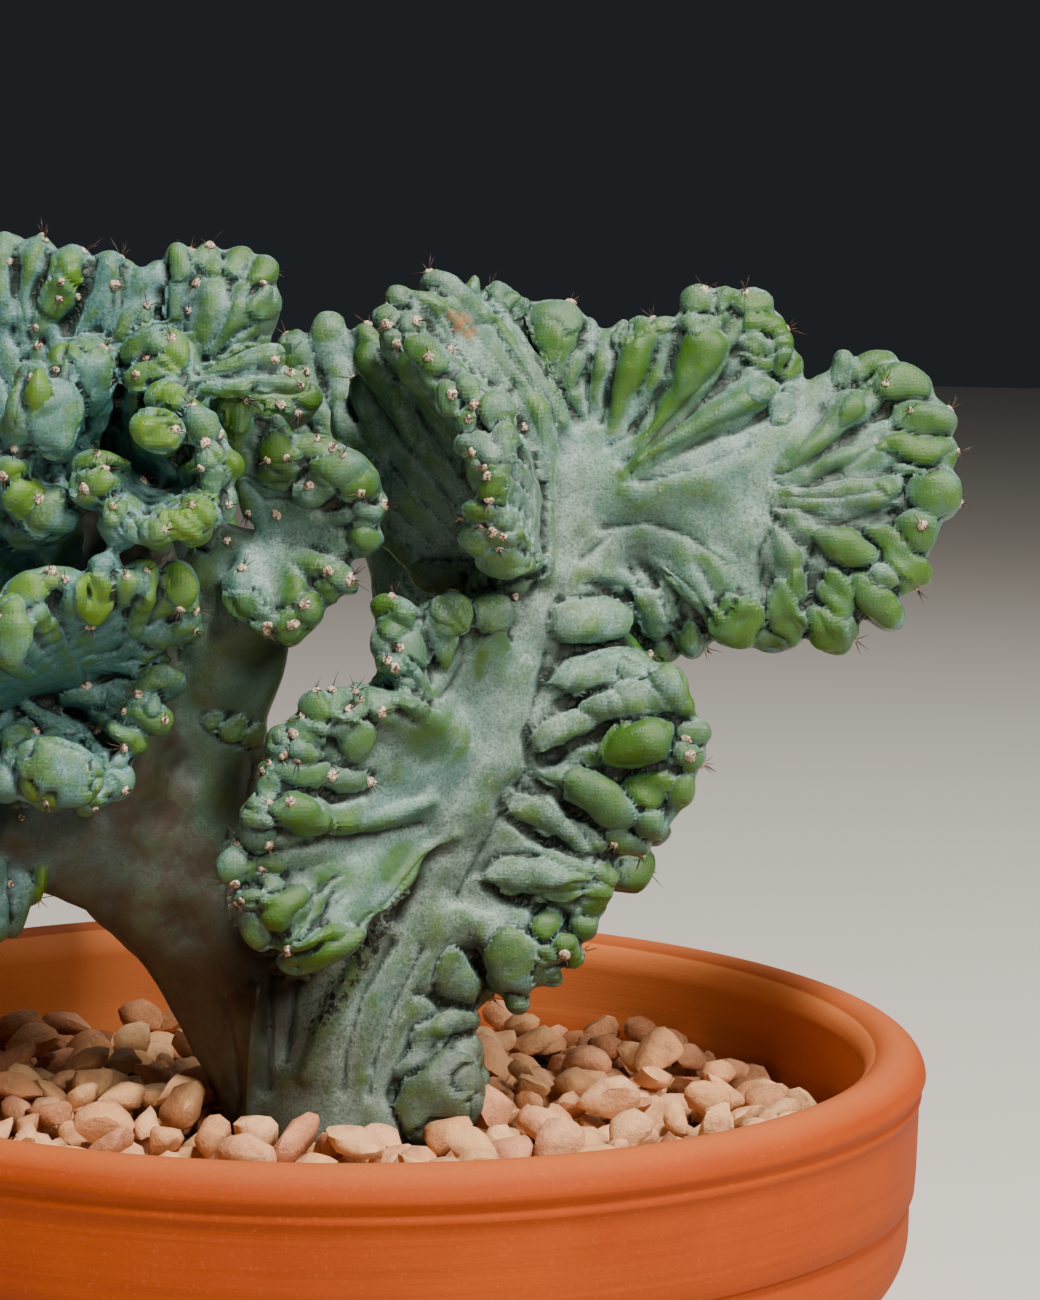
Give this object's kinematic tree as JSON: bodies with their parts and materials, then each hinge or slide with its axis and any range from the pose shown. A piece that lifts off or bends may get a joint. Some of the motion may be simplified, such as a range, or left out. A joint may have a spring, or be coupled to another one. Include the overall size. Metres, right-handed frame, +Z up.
{
  "type": "crested blue candle cactus in a terracotta bowl",
  "caption": "Crested cactus with two folded, ribbed heads of fan-shaped growth, standing in a low round terracotta bowl dressed with stone chips.",
  "frame": {"origin": "middle of the bowl's flat underside, on the surface that it stands on", "axes": "+Z up, +X to the right of the side that the plant shows best, +Y away from that side"},
  "size_m": [0.4098, 0.3986, 0.3673],
  "materials": {
    "terracotta": "unglazed fired terracotta, matte with a slight sheen on the lip",
    "gritty_soil": "dark gritty potting mix, matte",
    "stone_chips": "tumbled tan and pink stone chips, matte",
    "glaucous_skin": "waxy blue-green skin with a pale bloom, green on the new knobs, corky and grey at the foot"
  },
  "bodies": {
    "root": {"terracotta_pot": "terracotta", "potting_mix": "gritty_soil", "gravel_top_dressing": "stone_chips", "cactus": "glaucous_skin"}
  },
  "joints": []
}
